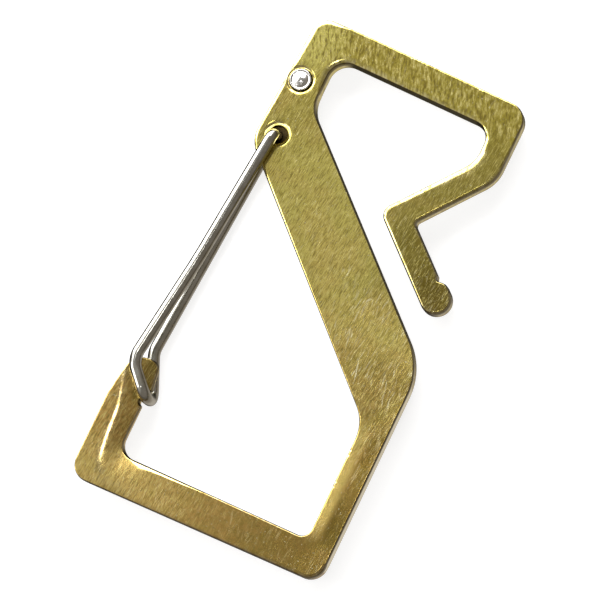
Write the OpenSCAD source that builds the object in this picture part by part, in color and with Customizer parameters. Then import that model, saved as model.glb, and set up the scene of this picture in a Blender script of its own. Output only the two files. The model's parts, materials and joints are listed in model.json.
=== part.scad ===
// Carabiner keyring: a flat brass plate with a belt hook above and a key loop below,
// a sprung wire gate that closes the key loop, and a domed rivet in the top corner.
// Millimetres. The plate lies flat: +Z is the front face's normal, +Y runs towards the hook,
// +X runs away from the gate. The origin is under the middle of the plate's outline,
// at the underside of the rear gate leg.

/* [Plate] */
// Overall width of the plate
overall_w = 46.5; // [46:0.1:47]
// Overall length of the plate
overall_l = 88; // [87.5:0.1:88.5]
// Plate thickness
plate_t = 3; // [2.8:0.1:3.4]
// How far the two short sides lean from square, in degrees
end_lean = 1.8; // [1.4:0.1:2.2]
// Corner radius at the outside of the plate
outer_r = 3; // [2.6:0.1:3.4]

/* [Key loop] */
// Width of the arm that carries the gate's nose
gate_arm_w = 6; // [5.8:0.05:6.2]
// Width of the arm opposite the gate
far_arm_w = 4.85; // [4.6:0.05:5.1]
// Width of the bottom bar at the gate's arm
bottom_bar_w = 6.55; // [6.3:0.05:6.8]
// Radius of the loop's inner corner at the gate's arm
loop_r = 2.6; // [2.2:0.1:3]
// Radius of the loop's other inner corner
loop_far_r = 1.8; // [1.4:0.1:2.2]

/* [Diagonal bar] */
// Width of the bar beside the pivot
bar_w = 11.65; // [11.4:0.05:11.9]
// Slope of the bar's upper edge, in degrees from the short side
bar_slope = 41.9; // [41.5:0.1:42.3]
// How much steeper the bar's lower edge is, in degrees
bar_taper = 0.7; // [0.4:0.1:1]
// Radius where the bar turns into the far arm, outside
bar_bend_r = 11.3; // [10:0.1:12]
// Radius where the bar turns into the far arm, inside
bar_inner_r = 7; // [6:0.5:8]

/* [Belt hook] */
// Width of the hook's top arm
hook_top_w = 5.55; // [5.3:0.05:5.8]
// Width of the hook's outer arms
hook_arm_w = 4.7; // [4.5:0.1:4.9]
// Distance from the plate's middle to the hook's outer side
hook_reach = 21.15; // [20.9:0.05:21.4]
// Slope of the hook's returning arm, in degrees
hook_slope = 51.25; // [50.75:0.25:51.75]
// Slope of the tip arm, in degrees
tip_slope = 41.3; // [40.9:0.1:41.7]
// Width of the tip arm
tip_w = 4.55; // [4.4:0.05:4.7]
// Radius of the tip's round end
lobe_r = 2.65; // [2.5:0.05:2.8]

/* [Gate] */
// Diameter of the gate wire
wire_d = 2.1; // [2:0.05:2.2]
// Gap between each leg and the face it runs beside
leg_gap = 0.1; // [0.08:0.01:0.15]
// How far the rear hole lies outboard of the front hole, which springs the gate shut
hole_offset = 1.1; // [1:0.05:1.2]
// Depth of the front pivot hole
pivot_depth = 1.4; // [1.3:0.05:1.4]
// Centreline radius of the wire's pivot bends
pivot_bend_r = 1.4; // [1.3:0.1:1.6]
// Centreline radius of the two bends at the crossbar
nose_bend_r = 1.9; // [1.7:0.1:2]

/* [Rivet] */
// Radius of the rivet's head
head_r = 1.85; // [1.7:0.05:1.95]
// Radius of the countersunk seat
seat_r = 2.5; // [2.3:0.05:2.6]
// Height of the head above the plate
head_rise = 0.2; // [0.1:0.05:0.3]

/* [Hidden] */
$fn = 64;

// Heights: the rear leg touches z = 0 and the plate floats between the two legs
wire_r = wire_d / 2;
rear_leg_z = wire_r;
back_z = wire_d + leg_gap;
face_z = back_z + plate_t;
front_leg_z = face_z + leg_gap + wire_r;

// The plate's outer sides
side = overall_w / 2;
end = overall_l / 2;

// Axis of the gate's pivot, centre of the wide hole it bears in, and centre of the rivet
pivot = [-16.65, 22.2];
rivet_at = [-16.9, 32.5];
pivot_hole = pivot + [0.35, 0.27];
running_gap = 0.08;
pivot_r = wire_r + norm(pivot_hole - pivot) + running_gap;
sink_r = 2.25;
sink_depth = 0.5;

// The rear stub swings round the front one, so its hole is wider and lies along that short arc
gate_opening = 35;
rear_stub = pivot - [hole_offset, 0];
rear_hole = pivot - hole_offset * [cos(gate_opening / 2), sin(gate_opening / 2)];
rear_hole_r = wire_r + hole_offset * 2 * sin(gate_opening / 4) + 0.12;
rear_depth = 1.3;

// Crossbar of the gate, and the bends between the crossbar and the pivot
crossbar = [-16.65, -27.1];
front_bow = [-18.77, -2.5];
bow_r = 150;
front_kink = [-21.3, -22.3];
rear_kink = [-20.25, -19.4];
kink_r = 4;

// A line is [point, direction in degrees]; beside() moves it to its left
function dir(a) = [cos(a), sin(a)];
function beside(line, d) = [line[0] + d * dir(line[1] + 90), line[1]];
function meet(m, n) =
    m[0] + dir(m[1]) * cross(n[0] - m[0], dir(n[1])) / cross(dir(m[1]), dir(n[1]));

// Straight sides of the plate
lean_drop = outer_r * (tan(end_lean) + 1 / cos(end_lean) - 1);
left_side = [[-side, 0], 90];
right_side = [[side, 0], 90];
bottom_side = [[-side, -end - lean_drop], end_lean];
top_left_side = [[-20.05, 22.3], 90 - 3.2];
top_side = [[-19, end + 0.1], -end_lean];
hook_side = [[hook_reach, 0], 90];
bar_start = [-19.15, 18.85];
bar_low = [bar_start, -bar_slope - bar_taper];
bar_high = beside([bar_start, -bar_slope], bar_w);
gate_arm_in = beside(left_side, -gate_arm_w);
far_arm_in = beside(right_side, far_arm_w);
loop_floor = [[-side + gate_arm_w, -end + bottom_bar_w + 0.1], end_lean - 0.8];
hook_ceiling = beside(top_side, -hook_top_w);
hook_side_in = beside(hook_side, hook_arm_w);
hook_left_in = [[-12.85, 0], 90];
throat = [5.3, 17.6];
return_in = [throat, hook_slope];
return_out = beside(return_in, -hook_arm_w);
tip_low = [throat, -tip_slope];
tip_high = beside(tip_low, tip_w);

// Round end of the tip: along runs out of the hook, across points away from the bar
along = dir(-tip_slope);
across = dir(90 - tip_slope);
lobe = throat + along * 17.8 + across * lobe_r;

// Nose of the gate arm: a blunt end with a lip, and the seat of the crossbar under it
nose_top = -20.8;
lip = [-16.75, -25.88];
seat_x = crossbar[0] - wire_r - 0.08;
seat_floor = -28.4;

// Radii of the outline's other corners: the nose, inside the hook, outside it, and the plate's left side
nose_back_r = 3.2;
gate_arm_r = 6.4;
nose_tip_r = 1.6;
lip_r = 0.45;
seat_corner_r = 0.5;
hook_bar_r = 5.1;
hook_corner_r = 3.3;
hook_far_r = 2.8;
hook_return_r = 5.6;
throat_r = 2;
tip_bend_r = 0.8;
hook_bend_r = 6.2;
hook_outer_r = 3.2;
top_corner_r = 3;
pivot_end_r = 5.2;

// The plate's outline, anticlockwise from the nose: [corner, radius]
OUTLINE = [
    [[-side + 1.15, nose_top], nose_back_r],
    [[-side, -29], gate_arm_r],
    [meet(left_side, bottom_side), outer_r],
    [meet(bottom_side, right_side), outer_r],
    [meet(right_side, bar_high), bar_bend_r],
    [meet(bar_high, hook_left_in), hook_bar_r],
    [meet(hook_left_in, hook_ceiling), hook_corner_r],
    [meet(hook_ceiling, hook_side_in), hook_far_r],
    [meet(hook_side_in, return_in), hook_return_r],
    [throat, throat_r],
    [lobe + lobe_r * (along - across), lobe_r - 0.02],
    [lobe + lobe_r * (along + across), lobe_r - 0.02],
    [lobe + lobe_r * across - 1.55 * along, 1.5],
    [lobe + 1.4 * across - 2.7 * along, 0.4],
    [lobe + (tip_w - lobe_r) * across - 3.5 * along, 0.3],
    [meet(tip_high, return_out), tip_bend_r],
    [meet(return_out, hook_side), hook_bend_r],
    [meet(hook_side, top_side), hook_outer_r],
    [meet(top_side, top_left_side), top_corner_r],
    [meet(top_left_side, bar_low), pivot_end_r],
    [meet(bar_low, far_arm_in), bar_inner_r],
    [meet(far_arm_in, loop_floor), loop_far_r],
    [meet(loop_floor, gate_arm_in), loop_r],
    [[-side + gate_arm_w, seat_floor - 0.3], 0.2],
    [[seat_x, seat_floor], seat_corner_r],
    [[seat_x, lip[1]], seat_corner_r],
    [lip, lip_r],
    [[-17.7, nose_top], nose_tip_r]
];

// Points of a rounded corner at p, between the points a and b, in the plane or in space
function unit(v) = v / norm(v);
function rounded(a, p, b, r, step) =
    let (u = unit(a - p), v = unit(b - p), half = acos(u * v) / 2)
    let (centre = p + unit(u + v) * r / sin(half), start = p + u * r / tan(half))
    let (e1 = unit(start - centre), e2 = -u, sweep = 180 - 2 * half)
    let (count = ceil(sweep / step))
    [for (i = [0:count]) centre + r * (cos(sweep * i / count) * e1 + sin(sweep * i / count) * e2)];

function around(i, list) = list[(i + len(list)) % len(list)];
outline_points = [
    for (i = [0:len(OUTLINE) - 1])
        each rounded(around(i - 1, OUTLINE)[0], OUTLINE[i][0], around(i + 1, OUTLINE)[0], OUTLINE[i][1], 6)
];

// The gate's centreline: [corner, bend radius], from the front stub to the rear stub
stub_end_front = face_z - pivot_depth + 0.1;
stub_end_rear = back_z + rear_depth - 0.1;
WIRE = [
    [[pivot[0], pivot[1], front_leg_z], pivot_bend_r, 1],
    [[front_bow[0], front_bow[1], front_leg_z], bow_r, 1],
    [[front_kink[0], front_kink[1], front_leg_z], kink_r, 1],
    [[crossbar[0], crossbar[1], front_leg_z], nose_bend_r, 1],
    [[crossbar[0], crossbar[1], rear_leg_z], nose_bend_r, -1],
    [[rear_kink[0], rear_kink[1], rear_leg_z], kink_r, -1],
    [[rear_stub[0], rear_stub[1], rear_leg_z], pivot_bend_r, -1]
];
wire_start = [pivot[0], pivot[1], stub_end_front + 0.2];
wire_finish = [rear_stub[0], rear_stub[1], stub_end_rear - 0.2];

// Turned ends of the wire, a hair thicker than the rest
stub_h = 0.6;
stub_r = wire_r + 0.03;
wire_sides = 16;

function wire_corner(i) =
    i < 0 ? wire_start : i >= len(WIRE) ? wire_finish : WIRE[i][0];

// Horizontal direction of the leg that a bend belongs to: the side of each ring stays square to it
function level(v) = unit([v[0], v[1], 0]);
function bend_side(i) =
    let (before = WIRE[i][0] - wire_corner(i - 1), after = wire_corner(i + 1) - WIRE[i][0])
    let (run = norm([before[0], before[1]]) > 0.01 ? before : after)
    WIRE[i][2] * cross([0, 0, 1], level(run));
function bend_rings(i) =
    let (a = wire_corner(i - 1), p = WIRE[i][0], b = wire_corner(i + 1))
    let (points = rounded(a, p, b, WIRE[i][1], 11), last = len(points) - 1)
    let (u = unit(p - a), v = unit(b - p), flat = abs(u[2]) < 0.01 && abs(v[2]) < 0.01)
    [for (k = [0:last])
        let (turn = acos(u * v) * k / last, w = unit(v - (u * v) * u))
        let (t = cos(turn) * u + sin(turn) * w)
        [points[k], t, flat ? WIRE[i][2] * cross([0, 0, 1], t) : bend_side(i)]];
wire_rings = [
    [wire_start, [0, 0, 1], bend_side(0)],
    for (i = [0:len(WIRE) - 1]) each bend_rings(i),
    [wire_finish, [0, 0, 1], bend_side(len(WIRE) - 1)]
];

// Tube with flat sides swept along rings of [point, tangent, side]
module tube(rings, r, sides) {
    count = len(rings);
    points = [
        for (ring = rings, k = [0:sides - 1])
            let (a = 360 * k / sides)
            ring[0] + r * (cos(a) * ring[2] + sin(a) * cross(ring[1], ring[2]))
    ];
    walls = [
        for (j = [0:count - 2], k = [0:sides - 1])
            let (n = (k + 1) % sides)
            [j * sides + k, (j + 1) * sides + k, (j + 1) * sides + n, j * sides + n]
    ];
    near_cap = [for (k = [0:sides - 1]) k];
    far_cap = [for (k = [0:sides - 1]) (count - 1) * sides + sides - 1 - k];
    polyhedron(points = points, faces = concat(walls, [near_cap, far_cap]));
}

// Countersunk hole from the front face, at the given place
module sunk_hole(at, hole_r, depth, cone_r, cone_depth) {
    translate([at[0], at[1], face_z - depth]) cylinder(h = depth + 1, r = hole_r);
    translate([at[0], at[1], face_z - cone_depth]) cylinder(h = cone_depth, r1 = hole_r, r2 = cone_r);
    translate([at[0], at[1], face_z]) cylinder(h = 1, r = cone_r);
}

// Slanting cut that thins the gate arm towards its inner edge and its nose, on the front face
cut_line = [[-21.8, -23], -81];
cut_slope = 11;
cut_run = 15.8;
module nose_cut() {
    translate([cut_line[0][0], cut_line[0][1], face_z])
        rotate([0, 0, cut_line[1]])
            rotate([cut_slope, 0, 0])
                translate([-6, 0, 0]) cube([cut_run + 6, 9, 3]);
}

module frame() {
    color("goldenrod")
    difference() {
        translate([0, 0, back_z]) linear_extrude(plate_t) polygon(outline_points);
        sunk_hole(pivot_hole, pivot_r, pivot_depth, sink_r, sink_depth);
        translate([rear_hole[0], rear_hole[1], back_z - 1]) cylinder(h = 1 + rear_depth, r = rear_hole_r);
        sunk_hole(rivet_at, 1.3, plate_t + 1, seat_r, 0.9);
        nose_cut();
        translate([0, 0, back_z + face_z]) mirror([0, 0, 1]) nose_cut();
    }
}

module wire_gate() {
    color("silver") {
        tube(wire_rings, wire_r, wire_sides);
        translate([pivot[0], pivot[1], stub_end_front]) cylinder(h = stub_h, r = stub_r);
        translate([rear_stub[0], rear_stub[1], stub_end_rear - stub_h]) cylinder(h = stub_h, r = stub_r);
    }
}

// Turned in one piece: a peened tail behind, a shank, and a domed head with a flat rim
shank_r = 1.32;
tail_r = 1.7;
tail_rise = 0.25;
dome_r = 1.35;
dome_h = 0.35;
module rivet() {
    dome_ball = (dome_r * dome_r + dome_h * dome_h) / (2 * dome_h);
    rim_z = face_z + head_rise - dome_h;
    color("gainsboro")
    translate([rivet_at[0], rivet_at[1], 0])
    rotate_extrude()
    polygon([
        [0, back_z - tail_rise],
        [tail_r - 0.3, back_z - tail_rise],
        [tail_r, back_z],
        [shank_r, back_z],
        [shank_r, face_z - 0.8],
        [head_r, rim_z - 0.25],
        [head_r, rim_z],
        for (i = [0:8])
            let (x = dome_r * (8 - i) / 8)
            [x, rim_z + dome_h - dome_ball + sqrt(dome_ball * dome_ball - x * x)]
    ]);
}

frame();
wire_gate();
rivet();
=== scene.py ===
import json
import math

import bpy
import numpy as np
from mathutils import Matrix, Vector
from mathutils.bvhtree import BVHTree
from mathutils.geometry import delaunay_2d_cdt

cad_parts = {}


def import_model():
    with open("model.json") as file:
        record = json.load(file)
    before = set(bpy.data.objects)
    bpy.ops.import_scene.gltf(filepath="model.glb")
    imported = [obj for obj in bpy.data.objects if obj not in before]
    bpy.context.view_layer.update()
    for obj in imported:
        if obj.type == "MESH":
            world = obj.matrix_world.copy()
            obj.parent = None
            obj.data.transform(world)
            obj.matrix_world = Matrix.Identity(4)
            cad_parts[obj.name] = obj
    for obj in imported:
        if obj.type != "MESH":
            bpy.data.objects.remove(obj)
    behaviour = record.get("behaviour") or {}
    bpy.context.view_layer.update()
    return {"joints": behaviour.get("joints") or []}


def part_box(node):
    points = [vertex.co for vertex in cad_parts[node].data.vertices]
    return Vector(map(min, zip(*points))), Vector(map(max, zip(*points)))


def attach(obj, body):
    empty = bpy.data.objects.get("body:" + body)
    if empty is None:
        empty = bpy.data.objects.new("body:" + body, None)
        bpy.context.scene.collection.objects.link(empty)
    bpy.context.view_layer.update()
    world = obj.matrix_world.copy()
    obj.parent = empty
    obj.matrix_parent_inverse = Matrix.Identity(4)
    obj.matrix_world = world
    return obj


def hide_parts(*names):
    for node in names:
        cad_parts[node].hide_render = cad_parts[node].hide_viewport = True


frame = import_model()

MM = 0.001

# ---------------------------------------------------------------- sizes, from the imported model
plate_low, plate_high = (np.array(corner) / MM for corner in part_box("frame"))
wire_high = np.array(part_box("wire_gate")[1]) / MM
rivet_low, rivet_high = (np.array(corner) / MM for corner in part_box("rivet"))
SIDE = plate_high[0]
END = -plate_low[1]
BACK_Z = plate_low[2]
FACE_Z = plate_high[2]
PIVOT = np.array(frame["joints"][0]["pos_m"][:2]) / MM
RIVET_AT = ((rivet_low + rivet_high) / 2)[:2]

# Driving dimensions of the plate, as in the CAD
END_LEAN = 1.8
OUTER_R = 3.0
GATE_ARM_W = 6.0
FAR_ARM_W = 4.85
BOTTOM_BAR_W = 6.55
LOOP_R = 2.6
LOOP_FAR_R = 1.8
BAR_W = 11.65
BAR_SLOPE = 41.9
BAR_TAPER = 0.7
HOOK_TOP_W = 5.55
HOOK_ARM_W = 4.7
HOOK_REACH = 21.15
HOOK_SLOPE = 51.25
TIP_SLOPE = 41.3
TIP_W = 4.55
TIP_LENGTH = 17.8
LOBE_R = 2.65
HOOK_LEFT_X = -12.85
FLOOR_LEAN = END_LEAN - 0.8

# Radii of the outline's other corners, as in the CAD
NOSE_BACK_R = 3.2
NOSE_TIP_R = 1.6
GATE_ARM_R = 6.4
LIP_R = 0.45
SEAT_CORNER_R = 0.5
BAR_BEND_R = 11.3
BAR_INNER_R = 7
HOOK_BAR_R = 5.1
HOOK_CORNER_R = 3.3
HOOK_FAR_R = 2.8
HOOK_RETURN_R = 5.6
HOOK_BEND_R = 6.2
HOOK_OUTER_R = 3.2
THROAT_R = 2
TIP_BEND_R = 0.8
TOP_CORNER_R = 3
PIVOT_END_R = 5.2

# A mark is a corner set a hair off a straight side, which only changes the width of the softened edge
MARK_R = 40
MARK_OFF = 0.01

# Gate wire, and the holes that it bears in
LEG_GAP = 0.1
RUNNING_GAP = 0.08
REAR_RUNNING_GAP = 0.12
WIRE_R = (wire_high[2] - FACE_Z - LEG_GAP) / 2
REAR_LEG_Z = WIRE_R
FRONT_LEG_Z = wire_high[2] - WIRE_R
HOLE_OFFSET = 1.1
PIVOT_HOLE = PIVOT + np.array([0.35, 0.27])
PIVOT_HOLE_R = WIRE_R + np.linalg.norm(PIVOT_HOLE - PIVOT) + RUNNING_GAP
PIVOT_SINK_R = 2.25
PIVOT_DEPTH = 1.4
REAR_STUB = PIVOT - np.array([HOLE_OFFSET, 0])
GATE_OPENING = 35
HALF_OPENING = math.radians(GATE_OPENING) / 2
REAR_HOLE = PIVOT - HOLE_OFFSET * np.array([math.cos(HALF_OPENING), math.sin(HALF_OPENING)])
REAR_HOLE_R = WIRE_R + 2 * HOLE_OFFSET * math.sin(HALF_OPENING / 2) + REAR_RUNNING_GAP
REAR_DEPTH = 1.3
CROSSBAR = np.array([-16.65, -27.1])

# Rivet
RIVET_SEAT_R = 2.5
RIVET_HOLE_R = 1.3
RIVET_HEAD_R = 1.85
RIVET_TAIL_R = 1.7


# ---------------------------------------------------------------- lines and corners in plan
def towards(degrees):
    angle = math.radians(degrees)
    return np.array([math.cos(angle), math.sin(angle)])


def unit(vector):
    return vector / np.linalg.norm(vector)


def cross2(a, b):
    return a[0] * b[1] - a[1] * b[0]


def beside(line, distance):
    """The line [point, degrees] moved to its left."""
    return [line[0] + distance * towards(line[1] + 90), line[1]]


def meet(line, other):
    """The point where two lines cross."""
    a, b = towards(line[1]), towards(other[1])
    return line[0] + a * cross2(other[0] - line[0], b) / cross2(a, b)


def at(x, y):
    return np.array([x, y], float)


def outline_corners():
    """The plate's corners anticlockwise from the nose: (corner, radius, width of its softened edge)."""
    lean = math.radians(END_LEAN)
    lean_drop = OUTER_R * (math.tan(lean) + 1 / math.cos(lean) - 1)
    left = [at(-SIDE, 0), 90]
    right = [at(SIDE, 0), 90]
    bottom = [at(-SIDE, -END - lean_drop), END_LEAN]
    top_left = [at(-20.05, 22.3), 86.8]
    top = [at(-19, END + 0.1), -END_LEAN]
    hook_side = [at(HOOK_REACH, 0), 90]
    bar_start = at(-19.15, 18.85)
    bar_low = [bar_start, -BAR_SLOPE - BAR_TAPER]
    bar_high = beside([bar_start, -BAR_SLOPE], BAR_W)
    gate_arm_in = beside(left, -GATE_ARM_W)
    far_arm_in = beside(right, FAR_ARM_W)
    loop_floor = [at(-SIDE + GATE_ARM_W, -END + BOTTOM_BAR_W + 0.1), FLOOR_LEAN]
    ceiling = beside(top, -HOOK_TOP_W)
    hook_side_in = beside(hook_side, HOOK_ARM_W)
    hook_left_in = [at(HOOK_LEFT_X, 0), 90]
    throat = at(5.3, 17.6)
    return_in = [throat, HOOK_SLOPE]
    return_out = beside(return_in, -HOOK_ARM_W)
    tip_low = [throat, -TIP_SLOPE]
    tip_high = beside(tip_low, TIP_W)
    along = towards(-TIP_SLOPE)
    across = towards(90 - TIP_SLOPE)
    lobe = throat + along * TIP_LENGTH + across * LOBE_R
    nose_top = -20.8
    lip = at(-16.75, -25.88)
    seat_x = CROSSBAR[0] - WIRE_R - RUNNING_GAP
    seat_floor = -28.4
    return [
        (at(-SIDE + 1.15, nose_top), NOSE_BACK_R, 0.4),
        (at(-SIDE, -29), GATE_ARM_R, 0.12),
        (meet(left, bottom), OUTER_R, 0.2),
        (meet(bottom, right), OUTER_R, 0.7),
        (at(SIDE - MARK_OFF, -END + 5), MARK_R, 0.08),
        (meet(right, bar_high), BAR_BEND_R, 0.08),
        (meet(bar_high, hook_left_in), HOOK_BAR_R, 0.15),
        (meet(hook_left_in, ceiling), HOOK_CORNER_R, 1.3),
        (meet(ceiling, hook_side_in), HOOK_FAR_R, 0.9),
        (meet(hook_side_in, return_in), HOOK_RETURN_R, 1.9),
        (throat, THROAT_R, 0.9),
        (lobe + LOBE_R * (along - across), LOBE_R - 0.02, 0.5),
        (lobe + LOBE_R * (along + across), LOBE_R - 0.02, 0.4),
        (lobe + LOBE_R * across - 1.55 * along, 1.5, 0.35),
        (lobe + 1.4 * across - 2.7 * along, 0.4, 0.35),
        (lobe + (TIP_W - LOBE_R) * across - 3.5 * along, 0.3, 0.35),
        (meet(tip_high, return_out), TIP_BEND_R, 0.45),
        (meet(return_out, hook_side), HOOK_BEND_R, 0.5),
        (meet(hook_side, top), HOOK_OUTER_R, 0.12),
        (top[0] + 7 * towards(top[1]) + at(0, MARK_OFF), MARK_R, 0.12),
        (meet(top, top_left), TOP_CORNER_R, 1.1),
        (meet(top_left, bar_low), PIVOT_END_R, 0.7),
        (meet(bar_low, far_arm_in), BAR_INNER_R, 0.12),
        (meet(far_arm_in, loop_floor), LOOP_FAR_R, 0.2),
        (at(1, loop_floor_y(1) - MARK_OFF), MARK_R, 0.15),
        (at(-12.8, loop_floor_y(-12.8) - MARK_OFF), MARK_R, 1.1),
        (meet(loop_floor, gate_arm_in), LOOP_R, 0.3),
        (at(-SIDE + GATE_ARM_W, seat_floor - 0.3), 0.2, 0.35),
        (at(seat_x, seat_floor), SEAT_CORNER_R, 0.3),
        (at(seat_x, lip[1]), SEAT_CORNER_R, 0.3),
        (lip, LIP_R, 0.3),
        (at(-17.7, nose_top), NOSE_TIP_R, 0.4),
    ]


def rounded(a, corner, b, radius, degrees, spacing):
    """Points along a round corner between the points a and b, in plan or in space."""
    u, v = unit(a - corner), unit(b - corner)
    half = math.acos(float(np.clip(u @ v, -1, 1))) / 2
    centre = corner + unit(u + v) * radius / math.sin(half)
    start = corner + u * radius / math.tan(half)
    e1, e2 = unit(start - centre), -u
    sweep = math.pi - 2 * half
    count = max(2, math.ceil(math.degrees(sweep) / degrees), math.ceil(sweep * radius / spacing))
    turns = np.linspace(0, sweep, count + 1)
    return [centre + radius * (math.cos(t) * e1 + math.sin(t) * e2) for t in turns]


EDGE_SPACING = 0.45
ARC_DEGREES = 5


def outline_points():
    """The outline's points, the inward direction at each, and the width of its softened edge."""
    corners = outline_corners()
    points, soft = [], []
    for i, (corner, radius, width) in enumerate(corners):
        before, after = corners[i - 1], corners[(i + 1) % len(corners)]
        arc = rounded(before[0], corner, after[0], radius, ARC_DEGREES, EDGE_SPACING)
        if points:
            points, soft = joined(points, soft, arc[0], width)
        points.extend(arc)
        soft.extend([width] * len(arc))
    points, soft = joined(points, soft, points[0], soft[0])
    points, soft = np.array(points), np.array(soft)
    ahead = np.roll(points, -1, 0) - points
    behind = points - np.roll(points, 1, 0)
    ahead = ahead / np.linalg.norm(ahead, axis=1)[:, None]
    behind = behind / np.linalg.norm(behind, axis=1)[:, None]
    tangent = ahead + behind
    tangent /= np.linalg.norm(tangent, axis=1)[:, None]
    inward = np.stack([-tangent[:, 1], tangent[:, 0]], 1)
    return points, inward, soft


def joined(points, soft, end, width):
    """Adds the points of the straight edge from the last point up to end, without end itself."""
    start = points[-1]
    count = max(1, math.ceil(np.linalg.norm(end - start) / EDGE_SPACING))
    shares = [i / count for i in range(1, count)]
    return (
        points + [start + (end - start) * s for s in shares],
        soft + [soft[-1] + (width - soft[-1]) * s for s in shares],
    )


class Plan:
    """The plate's outline in plan, with the distance of any point from it."""

    def __init__(self):
        self.points, self.inward, self.soft = outline_points()
        count = len(self.points)
        wall = [(x, y, z) for z in (-1, 1) for x, y in self.points]
        quads = [(i, (i + 1) % count, count + (i + 1) % count, count + i) for i in range(count)]
        self.tree = BVHTree.FromPolygons(wall, quads)

    def measure(self, places):
        """(distance from the outline, width of the nearest softened edge) of each place."""
        after, soft_after = np.roll(self.points, -1, 0), np.roll(self.soft, -1)
        found = [self.tree.find_nearest((x, y, 0)) for x, y in places]
        distance = np.array([hit[3] for hit in found])
        edge = np.array([hit[2] for hit in found])
        nearest = np.array([hit[0][:2] for hit in found])
        share = np.linalg.norm(nearest - self.points[edge], axis=1)
        share /= np.linalg.norm(after[edge] - self.points[edge], axis=1)
        return distance, self.soft[edge] * (1 - share) + soft_after[edge] * share

    def holds(self, places):
        """Whether each place is inside the outline, by counting the edges to its right."""
        a, b = self.points, np.roll(self.points, -1, 0)
        steep = np.where(a[:, 1] == b[:, 1], 1, b[:, 1] - a[:, 1])
        x, y = places[:, 0][:, None], places[:, 1][:, None]
        crosses = (a[:, 1] > y) != (b[:, 1] > y)
        x_at = a[:, 0] + (y - a[:, 1]) * (b[:, 0] - a[:, 0]) / steep
        return (crosses & (x < x_at)).sum(1) % 2 == 1


# ---------------------------------------------------------------- the plate's two faces
EDGE_DEPTH = 1.2           # depth of a softened edge, as a share of its width
EDGE_DEPTH_MOST = 0.55     # and the most that it is, where the edge is worn wide
RIM_W = 0.28               # the tight round that ends every edge: its width and depth
RIM_DEPTH = 0.55
BACK_EDGE = 0.5            # how far the back's edges are softened, as a share of the front's
BACK_GRIND = 0.3           # how deep the back is ground, as a share of the front
PILLOW_DEPTH = 0.014       # the slight fall of a face towards its edge, and how far in it reaches
PILLOW_REACH = 0.9
GATE_GRIND_SLOPE = math.tan(math.radians(15))
FAR_GRIND_SLOPE = math.tan(math.radians(7))
GRIND_R = 0.9              # round of the facet at the gate arm's inner corner
RIDGE_WEAR = 0.6           # how bright the ridge is worn, and the half width of the worn line
RIDGE_WEAR_W = 0.5
GRIND_FLAT = 0.5           # how much gentler the gate arm's facet is towards the bottom bar


def smooth_step(x, low, high):
    t = np.clip((x - low) / (high - low), 0, 1)
    return t * t * (3 - 2 * t)


def ramp(x, softness):
    """0 for x well below 0, and x above it, with a softened bend."""
    return (x + np.sqrt(x * x + softness * softness)) / 2


def loop_floor_y(x):
    """Height in plan of the key loop's floor at x."""
    return -END + BOTTOM_BAR_W + 0.1 + (x + SIDE - GATE_ARM_W) * math.tan(math.radians(FLOOR_LEAN))


def from_loop(x, y):
    """Distance outward from the key loop's inner edge, which is a box with round corners."""
    radius = np.where(x < 0, GRIND_R, LOOP_FAR_R)
    out_x = np.maximum(-SIDE + GATE_ARM_W - x, x - SIDE + FAR_ARM_W) + radius
    out_y = (loop_floor_y(x) - y) * np.where(x < 0, GRIND_FLAT, 1) + radius
    corner = np.hypot(np.maximum(out_x, 0), np.maximum(out_y, 0))
    return corner + np.minimum(np.maximum(out_x, out_y), 0) - radius


def gate_ridge(y):
    """How far the ground facet of the gate's arm reaches out from the loop's inner edge."""
    return 2.7 + np.maximum(y + 37, 0) * 0.09 + np.maximum(y + 30, 0) * 0.2


def on_gate_arm(x, y):
    """1 on the gate's arm, fading out along the bottom bar and towards the outer corner."""
    return (1 - smooth_step(x, -17.3, -9)) * smooth_step(y, -46, -37.5) * (y < -10)


def gate_grind(x, y):
    """Depth ground off the gate's arm, towards its inner edge and its nose."""
    past = gate_ridge(y) - from_loop(x, y)
    return GATE_GRIND_SLOPE * ramp(past, 0.6) * on_gate_arm(x, y)


def gate_ridge_wear(x, y):
    """Wear along the ridge of the gate arm's facet, where it is polished most, and 0 away from it."""
    past = gate_ridge(y) - from_loop(x, y)
    return RIDGE_WEAR * np.exp(-(past / RIDGE_WEAR_W) ** 2) * on_gate_arm(x, y)


def far_grind(x, y):
    """Depth ground off the far arm's inner edge, a softer facet that narrows towards the bar."""
    reach = 2.25 - 0.6 * smooth_step(y, -36, -24) - 1.4 * smooth_step(y, -24, -15)
    reach = reach + 0.7 * smooth_step(-x, -20, -16)
    past = reach - from_loop(x, y)
    fade = smooth_step(x, 8, 16) * smooth_step(y, -38.4, -34.4) * (1 - smooth_step(y, -17, -12))
    return FAR_GRIND_SLOPE * ramp(past, 0.5) * fade


def waviness(x, y, phase):
    """The slow unevenness that hand polishing leaves."""
    waves = [(0.61, 0.23, 0.4), (-0.34, 0.71, 1.9), (0.93, -0.55, 3.1), (0.18, -1.05, 5.2)]
    return sum(np.sin(a * x + b * y + c + phase) for a, b, c in waves) * 0.0035


def face_drop(x, y, distance, width, side, phase):
    """How far the front (side 1) or back (side -1) face lies below the plate's full height."""
    share = np.clip(1 - distance / width, 0, 1)
    depth = np.minimum(EDGE_DEPTH * width, EDGE_DEPTH_MOST)
    edge = depth * (1 - np.sqrt(1 - share * share))
    rim_share = np.clip(1 - distance / RIM_W, 0, 1)
    edge = edge + RIM_DEPTH * (1 - np.sqrt(1 - rim_share * rim_share))
    pillow = PILLOW_DEPTH * np.exp(-distance / PILLOW_REACH)
    wave = (waviness(x, y, phase) + 0.014) * smooth_step(distance, 0, 1.5)
    ground = gate_grind(x, y) + far_grind(x, y)
    if side < 0:
        edge = edge * BACK_EDGE
        ground = ground * BACK_GRIND
    return edge + pillow + wave + ground


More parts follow.
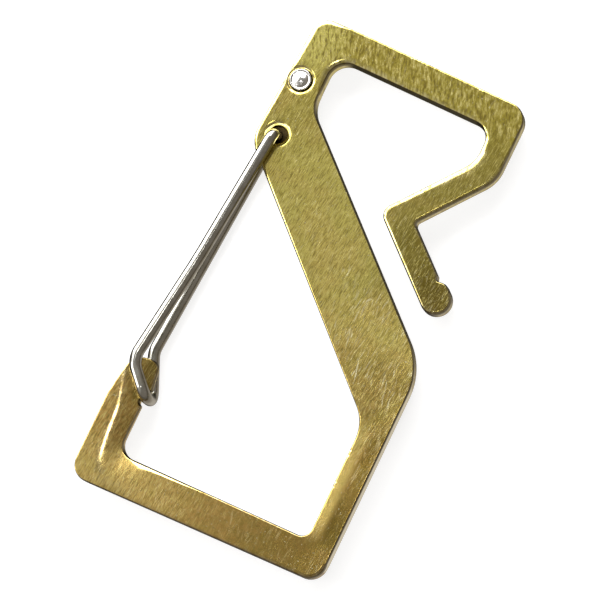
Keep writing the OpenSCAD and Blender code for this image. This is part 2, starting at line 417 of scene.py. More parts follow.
# ---------------------------------------------------------------- mesh helpers
class MeshParts:
    """Vertices and faces being gathered for one piece, in millimetres."""

    def __init__(self):
        self.vertices, self.faces, self.rim = [], [], []

    def add(self, points, rim=0.0):
        """Adds points and returns their numbers.

        rim is 2 on an edge, where a dark line of painted shade runs, 1 beside it, 0 on a face and -1 in a
        hole.
        """
        first = len(self.vertices)
        self.vertices.extend([tuple(float(c) for c in p) for p in points])
        self.rim.extend(np.broadcast_to(rim, len(points)).tolist())
        return list(range(first, len(self.vertices)))

    def strip(self, lower, upper, closed=True):
        """Joins two rows of vertices with quads. The faces look left of the rows' direction."""
        count = len(lower)
        for i in range(count if closed else count - 1):
            n = (i + 1) % count
            self.faces.append((lower[i], lower[n], upper[n], upper[i]))

    def fan(self, row, tip):
        for i in range(len(row)):
            self.faces.append((row[i], row[(i + 1) % len(row)], tip))


def make_mesh(name, parts, material):
    mesh = bpy.data.meshes.new(name)
    mesh.from_pydata([tuple(c * MM for c in v) for v in parts.vertices], [], parts.faces)
    mesh.update()
    rim = mesh.attributes.new("rim", "FLOAT", "POINT")
    rim.data.foreach_set("value", np.array(parts.rim, np.float32))
    mesh.shade_smooth()
    mesh.materials.append(material)
    piece = bpy.data.objects.new(name, mesh)
    bpy.context.scene.collection.objects.link(piece)
    return piece


def circle(centre, radius, count):
    angles = np.arange(count) * 2 * math.pi / count
    return np.stack([centre[0] + radius * np.cos(angles), centre[1] + radius * np.sin(angles)], 1)


# ---------------------------------------------------------------- the brass plate
# Angles round a softened edge and round its tight rim, at which rows of vertices lie
RING_TURNS = np.radians([14, 27, 39, 50, 60, 70, 80, 90])
RIM_TURNS = np.radians([18, 33, 46, 57, 67, 75, 82, 90])
BESIDE_EDGE = (0.035, 0.1, 0.22)     # rows that keep the face flat right up to its softened edge
GRID = 0.55
HOLE_SIDES = 72


def ridge_rows():
    """Points along the crisp ridge of the gate's arm, and beside it, so that the mesh follows it."""
    rows = []
    steps = (-0.6, -0.38, -0.22, -0.08, 0.08, 0.22, 0.38, 0.6)
    for y in np.arange(-END + BOTTOM_BAR_W + GRIND_R / GRIND_FLAT, -20.9, 0.4):
        x = -SIDE + GATE_ARM_W - gate_ridge(y)
        rows += [(x + step, y) for step in steps]
    corner = at(-SIDE + GATE_ARM_W + GRIND_R, -END + BOTTOM_BAR_W + 0.1 + GRIND_R / GRIND_FLAT)
    for degrees in range(182, 290, 4):
        way = towards(degrees) / at(1, GRIND_FLAT)
        rows += [corner + (GRIND_R + gate_ridge(-40.0) + step) * way for step in steps]
    return np.array(rows, float)


def spread_out(points, gaps):
    """The points in their order, without those closer than their own gap to one already kept."""
    cell = max(gaps)
    cells, kept = {}, []
    for (x, y), gap in zip(points.tolist(), gaps):
        cx, cy = int(x // cell), int(y // cell)
        near = (q for i in (-1, 0, 1) for j in (-1, 0, 1) for q in cells.get((cx + i, cy + j), ()))
        if all((x - q[0]) ** 2 + (y - q[1]) ** 2 >= gap * gap for q in near):
            cells.setdefault((cx, cy), []).append((x, y))
            kept.append((x, y))
    return np.array(kept)


def face_cloud(plan):
    """Plan points inside the outline: rows along the softened edge and the ridge, then a grid."""
    clouds, gaps = [], []
    insets = [RIM_W * (1 - math.cos(turn)) * np.ones(len(plan.soft)) for turn in RIM_TURNS]
    insets += [plan.soft * (1 - math.cos(turn)) for turn in RING_TURNS]
    insets += [np.maximum(plan.soft, RIM_W) + step for step in BESIDE_EDGE]
    for inset in insets:
        ring = plan.points + plan.inward * inset[:, None]
        distance, _ = plan.measure(ring)
        clouds.append(ring[distance > inset * 0.985 - 0.001])
        gaps += [0.012] * len(clouds[-1])
    columns = np.arange(-SIDE, SIDE, GRID)
    lines = np.arange(-END, END, GRID * math.sqrt(3) / 2)
    grid = [(x + GRID / 2 * (j % 2), y) for j, y in enumerate(lines) for x in columns]
    for cloud, spare, gap in ((ridge_rows(), 0.12, 0.05), (np.array(grid), 0.25, 0.16)):
        distance, width = plan.measure(cloud)
        cloud = cloud[distance > width + spare]
        clouds.append(cloud)
        gaps += [gap] * len(cloud)
    cloud = np.concatenate(clouds)
    inside = plan.holds(cloud)
    return spread_out(cloud[inside], np.array(gaps)[inside])


def triangulate(plan, cloud, holes):
    """(points, triangles) of one face in plan, anticlockwise. The outline and holes' rims come first."""
    loops = [plan.points] + [circle(centre, radius, HOLE_SIDES) for centre, radius in holes]
    edges, first = [], 0
    for loop in loops:
        edges += [(first + i, first + (i + 1) % len(loop)) for i in range(len(loop))]
        first += len(loop)
    for centre, radius in holes:
        cloud = cloud[np.linalg.norm(cloud - centre, axis=1) > radius + 0.5]
    steps = (0.05, 0.16, 0.36)
    rows = [circle(centre, radius + step, HOLE_SIDES) for centre, radius in holes for step in steps]
    rows = np.concatenate(rows)
    distance, _ = plan.measure(rows)
    rows = rows[plan.holds(rows) & (distance > 0.02)]
    given = np.concatenate([*loops, rows, cloud])
    made = delaunay_2d_cdt([Vector(p) for p in given], edges, [], 0, 1e-7)
    places = np.array([tuple(p) for p in made[0]])
    if len(places) < first or np.abs(places[:first] - given[:first]).max() > 1e-5:
        raise ValueError("the face's loops touch each other")
    triangles = np.array(made[2])
    on_rim = (triangles < first).all(1)
    keep = ~on_rim
    keep[on_rim] = plan.holds(places[triangles[on_rim]].mean(1))
    for centre, radius in holes:
        from_centre = np.linalg.norm(places[triangles].mean(1) - centre, axis=1)
        keep &= from_centre > radius * math.cos(math.pi / HOLE_SIDES)
    a, b, c = (places[triangles[:, i]] for i in range(3))
    area = cross2((b - a).T, (c - a).T)
    triangles[area < 0] = triangles[area < 0][:, ::-1]
    return places, triangles[keep & (np.abs(area) > 1e-7)]


def shade_line_width(width):
    """Width of the dark line of painted shade along an edge, narrowest where the edge is softened by about
    0.35 mm.
    """
    return np.interp(width, [0.15, 0.35, 0.9], [0.22, 0.18, 0.30])


def add_face(parts, plan, cloud, holes, height, side, phase):
    """Adds the front (side 1) or back (side -1) face and returns its loops: outline, then holes."""
    places, triangles = triangulate(plan, cloud, holes)
    distance, width = plan.measure(places)
    drop = face_drop(places[:, 0], places[:, 1], distance, width, side, phase)
    for centre, radius in holes:
        away = np.linalg.norm(places - centre, axis=1) - radius
        drop += 0.05 * np.exp(-np.clip(away, 0, None) / 0.18)
    rim = np.maximum(np.clip(1 - distance / width, 0, 1), gate_ridge_wear(places[:, 0], places[:, 1]))
    # Painted shade: a dark line along every edge, standing in for the dark reflection of the rounded edge,
    # kept in rim from 1 to 2
    dark = np.clip((shade_line_width(width) - distance) / 0.08, 0, 1)
    rim = np.where(dark > 0, 1 + dark, rim)
    z = height - side * drop
    numbers = parts.add(np.column_stack([places, z]), rim)
    for t in triangles if side > 0 else triangles[:, ::-1]:
        parts.faces.append(tuple(numbers[i] for i in t))
    loops, first = [], 0
    for count in [len(plan.points)] + [HOLE_SIDES] * len(holes):
        loops.append(numbers[first:first + count])
        first += count
    return loops


def add_bore(parts, rim, centre, profile, side):
    """Adds a round hole's wall below its rim: profile is [(radius, height, wear)], from the rim down."""
    last = rim
    for radius, z, wear in profile:
        ring = parts.add([(x, y, z) for x, y in circle(centre, radius, HOLE_SIDES)], wear)
        parts.strip(*((last, ring) if side > 0 else (ring, last)))
        last = ring
    return last


def brass_plate(material):
    plan = Plan()
    cloud = face_cloud(plan)
    parts = MeshParts()
    front_holes = [(PIVOT_HOLE, PIVOT_SINK_R), (RIVET_AT, RIVET_SEAT_R)]
    back_holes = [(REAR_HOLE, REAR_HOLE_R + 0.12), (RIVET_AT, RIVET_HOLE_R + 0.12)]
    front = add_face(parts, plan, cloud, front_holes, FACE_Z, 1, 0.0)
    back = add_face(parts, plan, cloud, back_holes, BACK_Z, -1, 2.4)

    # Side wall, from the back outline up to the front outline
    low = np.array([parts.vertices[i][2] for i in back[0]])
    high = np.array([parts.vertices[i][2] for i in front[0]])
    last = back[0]
    for share in (0.04, 0.3, 0.7, 0.96):
        row = parts.add(np.column_stack([plan.points, low + (high - low) * share]), 0.6)
        parts.strip(last, row)
        last = row
    parts.strip(last, front[0])

    # Front pivot hole: a countersink, then a blind bore
    sink_depth = 0.5
    pivot_profile = [
        (PIVOT_SINK_R - 0.05, FACE_Z - 0.09, 1), (PIVOT_SINK_R - 0.35, FACE_Z - sink_depth * 0.62, 0.8),
        (PIVOT_HOLE_R + 0.05, FACE_Z - sink_depth, 0.3), (PIVOT_HOLE_R, FACE_Z - sink_depth - 0.07, -0.6),
        (PIVOT_HOLE_R, FACE_Z - PIVOT_DEPTH + 0.15, -1), (PIVOT_HOLE_R - 0.12, FACE_Z - PIVOT_DEPTH, -1),
    ]
    floor = add_bore(parts, front[1], PIVOT_HOLE, pivot_profile, 1)
    parts.fan(floor, parts.add([(*PIVOT_HOLE, FACE_Z - PIVOT_DEPTH - 0.12)], -1.0)[0])

    # Rear hole
    rear_profile = [
        (REAR_HOLE_R, BACK_Z + 0.16, 0.3), (REAR_HOLE_R, BACK_Z + REAR_DEPTH - 0.15, -1),
        (REAR_HOLE_R - 0.12, BACK_Z + REAR_DEPTH, -1),
    ]
    floor = add_bore(parts, back[1], REAR_HOLE, rear_profile, -1)
    parts.fan(floor[::-1], parts.add([(*REAR_HOLE, BACK_Z + REAR_DEPTH + 0.1)], -1.0)[0])

    # Rivet hole, right through, with its conical seat in front
    seat_depth = 0.9
    seat_profile = [
        (RIVET_SEAT_R - 0.06, FACE_Z - 0.1, 1), (RIVET_SEAT_R - 0.4, FACE_Z - 0.36, 0.9),
        (RIVET_HOLE_R + 0.1, FACE_Z - seat_depth, -1), (RIVET_HOLE_R, FACE_Z - seat_depth - 0.12, -1),
        (RIVET_HOLE_R, BACK_Z + 0.14, -0.5),
    ]
    last = add_bore(parts, front[2], RIVET_AT, seat_profile, 1)
    parts.strip(last, back[2])
    return make_mesh("brass_plate", parts, material)


# ---------------------------------------------------------------- the wire gate
WIRE_SIDES = 40


def wire_path():
    """The gate's centreline, from the front stub round the crossbar to the rear stub."""
    front_stub = (*PIVOT, FACE_Z - PIVOT_DEPTH + 0.1)
    rear_stub = (*REAR_STUB, BACK_Z + REAR_DEPTH - 0.1)
    corners = [
        ((*PIVOT, FRONT_LEG_Z), 1.4), ((-18.77, -2.5, FRONT_LEG_Z), 150), ((-21.3, -22.3, FRONT_LEG_Z), 4),
        ((*CROSSBAR, FRONT_LEG_Z), 1.9), ((*CROSSBAR, REAR_LEG_Z), 1.9), ((-20.25, -19.4, REAR_LEG_Z), 4),
        ((*REAR_STUB, REAR_LEG_Z), 1.4),
    ]
    places = [np.array(front_stub)] + [np.array(c) for c, _ in corners] + [np.array(rear_stub)]
    path = [places[0]]
    for i, (_, radius) in enumerate(corners, 1):
        path += rounded(places[i - 1], places[i], places[i + 1], radius, 5, 1.5)
    path.append(places[-1])
    filled = [path[0]]
    for point in path[1:]:
        gap = np.linalg.norm(point - filled[-1])
        if gap < 1e-4:
            continue
        count = math.ceil(gap / 1.5)
        start = filled[-1]
        filled += [start + (point - start) * i / count for i in range(1, count + 1)]
    return np.array(filled)


def sweep(parts, path, radii):
    """A round tube along the path, with a radius at each point and a closed end at each end."""
    tangent = np.gradient(path, axis=0)
    tangent /= np.linalg.norm(tangent, axis=1)[:, None]
    side = unit(np.cross(tangent[0], (0.3, 1, 0.1)))
    angles = np.arange(WIRE_SIDES) * 2 * math.pi / WIRE_SIDES
    last = None
    for point, t, radius in zip(path, tangent, radii):
        side = unit(side - t * (side @ t))
        up = np.cross(t, side)
        ring = parts.add([point + radius * (math.cos(a) * side + math.sin(a) * up) for a in angles])
        if last:
            parts.strip(last, ring)
        else:
            parts.fan(ring[::-1], parts.add([point])[0])
        last = ring
    parts.fan(last, parts.add([path[-1]])[0])


def gate_wire(material):
    parts = MeshParts()
    path = wire_path()
    radius = WIRE_R - 0.003
    steps = np.array([0, 0.03, 0.1, 0.2])
    start = [path[0] + (0, 0, s) for s in steps]
    finish = [path[-1] - (0, 0, s) for s in steps[::-1]]
    body = path[1:-1]
    body = body[(body[:, 2] > start[-1][2] + 0.05) | (np.linalg.norm(body[:, :2] - PIVOT, axis=1) > 0.01)]
    chamfer = np.array([0.22, 0.12, 0.04, 0])
    radii = np.concatenate([radius - chamfer, np.full(len(body), radius), radius - chamfer[::-1]])
    sweep(parts, np.array([*start, *body, *finish]), radii)
    return make_mesh("gate_wire", parts, material)


# ---------------------------------------------------------------- the rivet
LATHE_SIDES = 96


def rivet_profile():
    """The rivet's outline from its back to its dome: (radius, height)."""
    top = rivet_high[2]
    rim_z = top - 0.35
    dome_r, dome_h = 1.32, top - rim_z - 0.02
    ball = (dome_r ** 2 + dome_h ** 2) / (2 * dome_h)
    low = rivet_low[2]
    profile = [(0.6, low), (RIVET_TAIL_R - 0.42, low + 0.02), (RIVET_TAIL_R - 0.14, low + 0.1),
               (RIVET_TAIL_R - 0.02, BACK_Z - 0.06), (RIVET_TAIL_R, BACK_Z - 0.01),
               (RIVET_HOLE_R, BACK_Z + 0.03), (RIVET_HOLE_R - 0.01, FACE_Z - 0.85),
               (RIVET_HEAD_R - 0.08, rim_z - 0.26), (RIVET_HEAD_R, rim_z - 0.18),
               (RIVET_HEAD_R, rim_z - 0.07), (RIVET_HEAD_R - 0.03, rim_z - 0.02),
               (RIVET_HEAD_R - 0.09, rim_z), (dome_r + 0.22, rim_z - 0.02), (dome_r + 0.1, rim_z - 0.09),
               (dome_r + 0.03, rim_z - 0.08)]
    for i in range(13):
        x = dome_r * math.cos(math.radians(90 * i / 13))
        profile.append((x, rim_z + dome_h - ball + math.sqrt(ball ** 2 - x ** 2)))
    return profile, top - 0.02


def steel_rivet(material):
    parts = MeshParts()
    profile, top = rivet_profile()
    last = None
    for radius, z in profile:
        ring = parts.add([(x, y, z) for x, y in circle(RIVET_AT, radius, LATHE_SIDES)])
        if last:
            parts.strip(last, ring)
        else:
            parts.fan(ring[::-1], parts.add([(*RIVET_AT, z)])[0])
        last = ring
    parts.fan(last, parts.add([(*RIVET_AT, top)])[0])
    return make_mesh("steel_rivet", parts, material)


# ---------------------------------------------------------------- material helpers
class Shade:
    """A material's node tree, with short calls that add a node and join its inputs."""

    def __init__(self, name):
        self.material = bpy.data.materials.new(name)
        self.material.use_nodes = True
        self.tree = self.material.node_tree
        self.tree.nodes.clear()
        self.out = self.node("ShaderNodeOutputMaterial")

    def node(self, kind, inputs=None, **settings):
        """Adds a node. inputs maps a socket's name or number to a value or to another node's output."""
        made = self.tree.nodes.new(kind)
        for key, value in settings.items():
            setattr(made, key, value)
        for key, value in (inputs or {}).items():
            self.put(made.inputs[key], value)
        return made

    def put(self, socket, value):
        if isinstance(value, bpy.types.NodeSocket):
            self.tree.links.new(value, socket)
        else:
            socket.default_value = value

    def math(self, operation, a, b):
        return self.node("ShaderNodeMath", {0: a, 1: b}, operation=operation).outputs[0]

    def mapped(self, vector, degrees=0.0, scale=(1, 1, 1), offset=(0, 0, 0)):
        """Coordinates turned about Z, then stretched."""
        turn = (0, 0, -math.radians(degrees))
        turned = self.node("ShaderNodeMapping", {"Vector": vector, "Rotation": turn}).outputs[0]
        stretch = {"Vector": turned, "Scale": scale, "Location": offset}
        return self.node("ShaderNodeMapping", stretch).outputs[0]

    def noise(self, vector, scale, detail=4.0, roughness=0.55, distortion=0.0):
        return self.node("ShaderNodeTexNoise", {
            "Vector": vector, "Scale": scale, "Detail": detail, "Roughness": roughness,
            "Distortion": distortion}).outputs["Fac"]

    def levels(self, value, low, high, out_low=0.0, out_high=1.0, smooth=False):
        kind = "SMOOTHSTEP" if smooth else "LINEAR"
        made = self.node("ShaderNodeMapRange", {
            "Value": value, "From Min": low, "From Max": high, "To Min": out_low, "To Max": out_high},
            interpolation_type=kind)
        return made.outputs[0]

    def blend(self, share, a, b, mode="MIX"):
        made = self.node("ShaderNodeMix", data_type="RGBA", blend_type=mode)
        self.put(made.inputs[0], share)
        self.put(made.inputs[6], a)
        self.put(made.inputs[7], b)
        return made.outputs[2]

    def millimetres(self):
        """The piece's own coordinates in millimetres."""
        coordinates = self.node("ShaderNodeTexCoord").outputs["Object"]
        per_metre = (1000, 1000, 1000)
        scaled = self.node("ShaderNodeVectorMath", {0: coordinates, 1: per_metre}, operation="MULTIPLY")
        return scaled.outputs[0]

    def strokes(self, vector, degrees, length, width, offset):
        """Single straight strokes, 1 on a stroke and 0 beside it. Sizes are in millimetres."""
        stretched = self.mapped(vector, degrees, (1 / length, 1 / width, 0.5), offset)
        return self.levels(self.noise(stretched, 1.0, 1, 0.4), 0.64, 0.74)

    def region(self, x, y, x_edge, y_low, y_high, most):
        """A soft-edged patch of the plate: each pair is where its edge starts and where it is full."""
        across = self.levels(x, *x_edge, smooth=True)
        share = self.math("MULTIPLY", across, self.levels(y, *y_low, smooth=True))
        share = self.math("MULTIPLY", share, self.levels(y, *y_high, smooth=True))
        return self.math("MULTIPLY", share, most)

    def bump(self, height, depth_mm, before=None):
        """A bump of that depth, in millimetres, where height runs from 0 to 1."""
        inputs = {"Height": height, "Distance": depth_mm * MM, "Strength": 1.0}
        if before is not None:
            inputs["Normal"] = before
        return self.node("ShaderNodeBump", inputs).outputs[0]

    def metal(self, colour, roughness, normal, **plain):
        shader = self.node("ShaderNodeBsdfPrincipled", {
            "Base Color": colour, "Metallic": 1.0, "Roughness": roughness, "Normal": normal})
        for key, value in plain.items():
            shader.inputs[key].default_value = value
        self.put(self.out.inputs["Surface"], shader.outputs[0])
        return self.material


# ---------------------------------------------------------------- the three metals
def brass():
    s = Shade("brass_plate")
    place = s.millimetres()
    xyz = s.node("ShaderNodeSeparateXYZ", {0: place})
    x, y = xyz.outputs[0], xyz.outputs[1]
    rim = s.node("ShaderNodeAttribute", attribute_name="rim").outputs["Fac"]

    # Fine brushing along the plate, crossing strokes on the top arm, and single longer strokes
    fine = s.noise(s.mapped(place, 84.5, (0.85, 5.6, 1.5)), 1.0, 4, 0.7)
    broad = s.noise(s.mapped(place, 84.5, (0.22, 1.9, 1)), 1.0, 3, 0.6)
    brushed = s.math("ADD", s.math("MULTIPLY", fine, 0.84), s.math("MULTIPLY", broad, 0.16))
    crossed = s.noise(s.mapped(place, 112, (0.8, 2.4, 2), (7, 3, 1)), 1.0, 4, 0.6)
    top_arm = s.levels(y, 34, 39, smooth=True)
    grain = s.blend(top_arm, brushed, crossed)
    calm = s.region(x, y, (-6, 8), (-60, -50), (-16, -26), 0.75)
    grain = s.blend(calm, grain, (0.505, 0.505, 0.505, 1))
    along = s.strokes(place, 84.5, 3.0, 0.24, (0, 0, 0))
    lines = s.math("MAXIMUM", along, s.strokes(place, 80, 2.0, 0.3, (5, 2, 0)))
    lines = s.math("MAXIMUM", lines, s.strokes(place, 104, 2.6, 0.28, (1, 9, 0)))
    patchy = s.levels(s.noise(place, 0.2, 2, 0.5), 0.40, 0.62, 0.3, 1.0)
    lines = s.math("MULTIPLY", lines, patchy)

    # Clouding and small stains
    clouds = s.noise(place, 0.16, 4, 0.55, 0.4)
    mottle = s.noise(place, 0.8, 6, 0.66)
    freckles = s.noise(place, 2.6, 4, 0.6)
    specks = s.noise(place, 3.4, 2, 0.5)

    # Olive towards the hook and warmer towards the key loop
    warm = s.math("ADD", s.levels(y, 22, -36, 0, 0.9, smooth=True), s.levels(clouds, 0.38, 0.62, -0.15, 0.2))
    colour = s.blend(s.math("MINIMUM", warm, 1.0), (0.71, 0.60, 0.14, 1), (0.84, 0.525, 0.155, 1))
    yellow = s.math("MULTIPLY", s.levels(y, 30, 38, smooth=True), 0.75)
    colour = s.blend(yellow, colour, (0.66, 0.55, 0.085, 1))

    # Darker where it is tarnished: the tip, the hook's return, the bar's end, the loop's far corner, the
    # nose. The tip's end is darker still, as painted shade
    tip = s.region(x, y, (5, 12), (1, 6), (24, 14), 1.0)
    hook = s.region(x, y, (3, 9), (14, 18), (40, 33), 0.42)
    bar_end = s.region(x, y, (8, 20), (-24, -15), (0, -7), 0.45)
    corner = s.region(x, y, (-12, 19), (-60, -50), (-24, -34), 0.85)
    nose = s.region(x, y, (-20.2, -18.4), (-29, -27), (0, -18), 0.9)
    nose = s.math("MULTIPLY", nose, s.levels(x, -14, -15))
    tip_end_shade = s.region(x, y, (13, 18), (1, 4), (16, 9), 0.6)
    tarnish = s.math("MAXIMUM", s.math("MAXIMUM", tip, hook), s.math("MAXIMUM", bar_end, corner))
    tarnish = s.math("MAXIMUM", tarnish, nose)
    tarnish = s.math("ADD", tarnish, s.levels(mottle, 0.42, 0.62, -0.08, 0.42))
    stain = s.blend(warm, (0.33, 0.27, 0.045, 1), (0.38, 0.25, 0.06, 1))
    colour = s.blend(s.math("MAXIMUM", s.math("MINIMUM", tarnish, 1.0), 0.0), colour, stain)
    # Painted shade at the hook tip's end
    colour = s.blend(tip_end_shade, colour, (0.14, 0.09, 0.01, 1))

    # Paler where it rubs most: the top corner, the bar, the bottom bar's near end and the far arm
    top_corner = s.region(x, y, (-9, -17), (32, 37), (80, 70), 1.0)
    bar = s.region(x, y, (-22, -8), (-8, -2), (28, 20), 0.5)
    beside_slot = s.math("ADD", y, s.math("MULTIPLY", x, 0.9))
    bar = s.math("MULTIPLY", bar, s.levels(beside_slot, 18.2, 16.8))
    near_end = s.region(x, y, (2, -10), (-80, -70), (-34, -38), 0.75)
    far_arm = s.region(x, y, (20.8, 19.8), (-38, -32), (-14, -20), 1.0)
    far_arm = s.math("MULTIPLY", far_arm, s.levels(x, 10, 14))
    pale = s.math("MAXIMUM", s.math("MAXIMUM", top_corner, bar), s.math("MAXIMUM", near_end, far_arm))
    colour = s.blend(pale, colour, s.blend(warm, (0.95, 0.85, 0.22, 1), (0.98, 0.70, 0.22, 1)))
    colour = s.blend(s.levels(grain, 0.36, 0.50, 0.85, 0.0), colour, (0.33, 0.25, 0.05, 1))
    colour = s.blend(s.levels(grain, 0.51, 0.66, 0.0, 0.95), colour, (1.0, 0.86, 0.32, 1))
    colour = s.blend(s.levels(freckles, 0.34, 0.50, 0.30, 0.0), colour, (0.44, 0.35, 0.10, 1))
    # Painted shade: a dark band along the far arm's outer edge, and a faint one on the bottom bar towards its
    # far corner
    outer = s.region(x, y, (20.3, 21.3), (-39, -35), (-12, -20), 0.5)
    low_corner_shade = s.region(x, y, (4, 16), (-60, -50), (-33, -38), 0.12)
    colour = s.blend(s.math("MAXIMUM", outer, low_corner_shade), colour, (0.17, 0.115, 0.015, 1))
    # Painted shade: a dark brown band along the bottom edge, fading towards the gate arm
    bottom_edge_shade = s.levels(y, 1.5 - END, 0.3 - END, smooth=True)
    bottom_edge_shade = s.math("MULTIPLY", bottom_edge_shade, s.levels(x, -19, 6, 0.1, 0.8))
    colour = s.blend(bottom_edge_shade, colour, (0.20, 0.10, 0.03, 1))
    busy = s.math("ADD", s.region(x, y, (0, 7), (-15, -9), (12, 2), 0.6), 0.2)
    colour = s.blend(s.math("MULTIPLY", lines, busy), colour, (1.0, 0.93, 0.62, 1))
    colour = s.blend(s.levels(specks, 0.68, 0.74, 0.0, 0.6), colour, (1.0, 0.95, 0.70, 1))
    hole = s.levels(rim, 0.0, -0.8)
    colour = s.blend(hole, colour, (0.10, 0.07, 0.03, 1))
    edge = s.levels(rim, 0.0, 1.0)
    # rim from 1 to 2 is the painted shade along every edge: a dark line standing in for the dark reflection
    # of the rounded edges
    line = s.levels(rim, 1.0, 2.0, 0.0, 0.8)
    worn = s.math("MULTIPLY", edge, s.levels(s.noise(place, 1.1, 4, 0.7), 0.40, 0.58, 0.05, 0.5))
    colour = s.blend(worn, colour, (1.0, 0.93, 0.66, 1))
    # Painted highlight: a pale band along the plate's right outer edge, standing in for the pale reflection
    # that its side wall shows
    colour = s.blend(s.levels(x, SIDE - 0.14, SIDE - 0.03, 0.0, 0.9), colour, (1.0, 0.94, 0.72, 1))
    # Painted shade: the dark line along every edge
    colour = s.blend(line, colour, (0.07, 0.055, 0.03, 1))

    rough = s.math("ADD", s.levels(grain, 0.3, 0.7, 0.13, 0.18), s.levels(mottle, 0.35, 0.65, -0.02, 0.05))
    rough = s.math("ADD", rough, s.math("MULTIPLY", lines, 0.06))
    rough = s.math("SUBTRACT", rough, s.math("MULTIPLY", edge, 0.08))
    rough = s.math("ADD", rough, s.math("MULTIPLY", hole, 0.3))

    strength = s.levels(edge, 0.1, 0.7, 1.0, 0.3)
    normal = s.bump(s.math("MULTIPLY", grain, strength), 0.003)
    normal = s.bump(s.math("MULTIPLY", lines, strength), 0.0008, normal)
    normal = s.bump(s.math("MULTIPLY", freckles, strength), 0.004, normal)
    return s.metal(colour, rough, normal)


def steel_wire():
    s = Shade("gate_wire")
    place = s.millimetres()
    drawn = s.noise(s.mapped(place, 83, (0.25, 7, 7)), 1.0, 4, 0.6)
    clouds = s.noise(place, 0.5, 4, 0.6)
    specks = s.noise(place, 6.0, 2, 0.5)
    colour = s.blend(s.levels(clouds, 0.35, 0.65), (0.55, 0.54, 0.50, 1), (0.44, 0.42, 0.36, 1))
    colour = s.blend(s.levels(specks, 0.60, 0.72, 0, 0.5), colour, (0.34, 0.31, 0.25, 1))
    rough = s.levels(drawn, 0.3, 0.7, 0.10, 0.20)
    normal = s.bump(drawn, 0.004)
    normal = s.bump(specks, 0.002, normal)
    return s.metal(colour, rough, normal)


def rivet_steel():
    s = Shade("rivet_steel")
    place = s.millimetres()
    swirl = s.noise(place, 1.3, 3, 0.5, 1.2)
    specks = s.noise(place, 8.0, 3, 0.55)
    colour = s.blend(s.levels(specks, 0.52, 0.68, 0, 0.6), (0.80, 0.79, 0.77, 1), (0.50, 0.48, 0.44, 1))
    rough = s.levels(swirl, 0.3, 0.7, 0.08, 0.16)
    normal = s.bump(swirl, 0.05)
    normal = s.bump(specks, 0.003, normal)
    return s.metal(colour, rough, normal)


# ---------------------------------------------------------------- pieces
def build_pieces():
    plate = brass_plate(brass())
    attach(plate, "root")
    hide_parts("frame")
    wire = gate_wire(steel_wire())
    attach(wire, "gate")
    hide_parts("wire_gate")
    rivet = steel_rivet(rivet_steel())
    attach(rivet, "root")
    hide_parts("rivet")


# ---------------------------------------------------------------- floor, lights, world and camera
def floor():
    size = 1.5
    mesh = bpy.data.meshes.new("floor")
    corners = [(-size, -size, 0), (size, -size, 0), (size, size, 0), (-size, size, 0)]
    mesh.from_pydata(corners, [], [(0, 1, 2, 3)])
    s = Shade("floor")
    shader = s.node("ShaderNodeBsdfPrincipled", {"Roughness": 0.9})
    grain = s.noise(s.node("ShaderNodeTexCoord").outputs["Object"], 60, 3)
    s.put(shader.inputs["Base Color"], s.blend(grain, (0.34, 0.34, 0.34, 1), (0.36, 0.36, 0.36, 1)))
    shader.inputs["Emission Color"].default_value = (1, 1, 1, 1)
    shader.inputs["Emission Strength"].default_value = 0.82
    shader.inputs["Specular IOR Level"].default_value = 0.0
    s.put(s.out.inputs["Surface"], shader.outputs[0])
    mesh.materials.append(s.material)
    made = bpy.data.objects.new("floor", mesh)
    made.visible_glossy = False
    bpy.context.scene.collection.objects.link(made)


def panel(name, degrees, elevation, distance, width, height, radiance):
    """A flat soft light that faces the object, given by the direction it stands in."""
    light = bpy.data.lights.new(name, "AREA")
    light.shape = "RECTANGLE"
    light.size = width
    light.size_y = height
    light.energy = radiance * math.pi * width * height
    made = bpy.data.objects.new(name, light)
    flat = math.cos(math.radians(elevation))
    away = Vector((*(towards(degrees) * flat), math.sin(math.radians(elevation))))
    made.location = away * distance
    made.rotation_mode = "QUATERNION"
    made.rotation_quaternion = away.to_track_quat("Z", "Y")
    bpy.context.scene.collection.objects.link(made)


def studio():
    """Soft light from the upper left of the view and a small lamp overhead."""
    panel("left_panel", 154, 29, 0.9, 0.9, 0.87, 5.0)
    panel("top_panel", 108, 29, 0.9, 0.5, 0.87, 5.0)
    panel("edge_panel", 206, 34, 0.9, 0.26, 0.46, 5.0)
    panel("overhead", 186, 87, 0.9, 0.11, 0.10, 8.0)


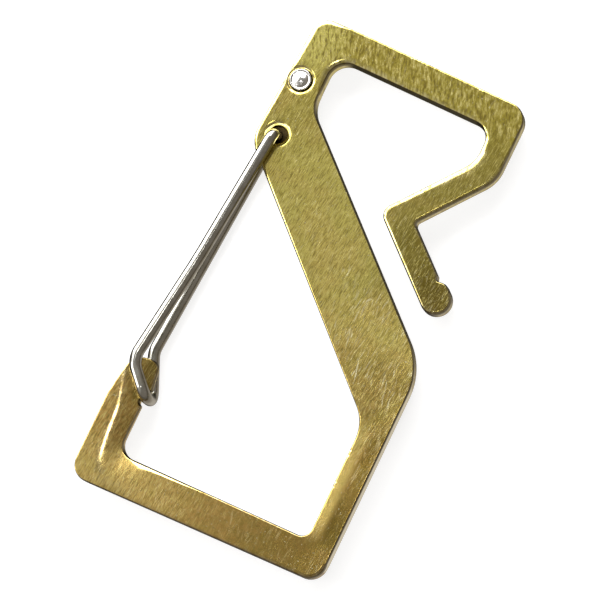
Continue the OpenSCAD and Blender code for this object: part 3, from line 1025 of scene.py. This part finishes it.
def world():
    made = bpy.data.worlds.new("studio")
    made.use_nodes = True
    bpy.context.scene.world = made
    tree = made.node_tree
    tree.nodes.clear()

    def node(kind, inputs=None, **settings):
        n = tree.nodes.new(kind)
        for key, value in settings.items():
            setattr(n, key, value)
        for key, value in (inputs or {}).items():
            if isinstance(value, bpy.types.NodeSocket):
                tree.links.new(value, n.inputs[key])
            else:
                n.inputs[key].default_value = value
        return n

    def ramped(value, stops):
        n = node("ShaderNodeValToRGB", {0: value})
        colours = n.color_ramp
        while len(colours.elements) < len(stops):
            colours.elements.new(0.5)
        for element, (position, colour) in zip(colours.elements, stops):
            element.position = position
            element.color = (*colour, 1)
        return n.outputs[0]

    way = node("ShaderNodeTexCoord").outputs["Generated"]
    height = node("ShaderNodeSeparateXYZ", {0: way}).outputs[2]
    high = node("ShaderNodeMapRange", {"Value": height, "From Min": -1.0, "From Max": 1.0}).outputs[0]
    to_right = (0.94, -0.34, 0)
    right_side = node("ShaderNodeVectorMath", {0: way, 1: to_right}, operation="DOT_PRODUCT")
    right_share = {"Value": right_side.outputs["Value"], "From Min": -1.0, "From Max": 1.0}
    right = node("ShaderNodeMapRange", right_share).outputs[0]
    left_colours = ramped(high, [
        (0.0, (0.05, 0.045, 0.035)), (0.47, (0.03, 0.028, 0.02)), (0.5, (0.10, 0.09, 0.07)),
        (0.56, (0.30, 0.28, 0.25)), (0.9, (0.60, 0.58, 0.55)), (0.98, (0.44, 0.43, 0.41)),
        (1.0, (0.20, 0.19, 0.18))])
    right_colours = ramped(high, [
        (0.0, (0.62, 0.57, 0.50)), (0.3, (0.36, 0.32, 0.27)), (0.5, (0.12, 0.11, 0.09)),
        (0.7, (0.26, 0.23, 0.20)), (0.95, (0.25, 0.23, 0.20)), (1.0, (0.22, 0.21, 0.19))])
    mixed = node("ShaderNodeMix", data_type="RGBA")
    tree.links.new(node("ShaderNodeMapRange", {"Value": right, "From Min": 0.40, "From Max": 0.62},
                        interpolation_type="SMOOTHSTEP").outputs[0], mixed.inputs[0])
    tree.links.new(left_colours, mixed.inputs[6])
    tree.links.new(right_colours, mixed.inputs[7])
    room = node("ShaderNodeBackground", {"Color": mixed.outputs[2], "Strength": 1.0})
    plain = node("ShaderNodeBackground", {"Color": (0.93, 0.93, 0.93, 1), "Strength": 1.0})
    seen = node("ShaderNodeLightPath").outputs["Is Camera Ray"]
    both = node("ShaderNodeMixShader", {0: seen, 1: room.outputs[0], 2: plain.outputs[0]})
    node("ShaderNodeOutputWorld", {"Surface": both.outputs[0]})


def camera():
    """The view: from above, turned an eighth of a turn about the line of sight."""
    azimuth, elevation, roll = math.radians(70.1), math.radians(74.0), math.radians(-45.0)
    distance, target = 0.4764, Vector((-0.00014, -0.00158, 0.0052))
    flat = math.cos(elevation)
    back = Vector((math.sin(azimuth) * flat, -math.cos(azimuth) * flat, math.sin(elevation)))
    level = Vector((math.cos(azimuth), math.sin(azimuth), 0))
    upright = back.cross(level)
    right = level * math.cos(roll) + upright * math.sin(roll)
    up = back.cross(right)
    data = bpy.data.cameras.new("camera")
    data.lens = 172.3
    data.sensor_width = 36
    data.clip_start, data.clip_end = 0.01, 20
    made = bpy.data.objects.new("camera", data)
    made.matrix_world = Matrix((right, up, back)).transposed().to_4x4()
    made.location = target + back * distance
    bpy.context.scene.collection.objects.link(made)
    bpy.context.scene.camera = made


camera()
build_pieces()
floor()
studio()
world()
bpy.context.scene.view_settings.view_transform = "Standard"
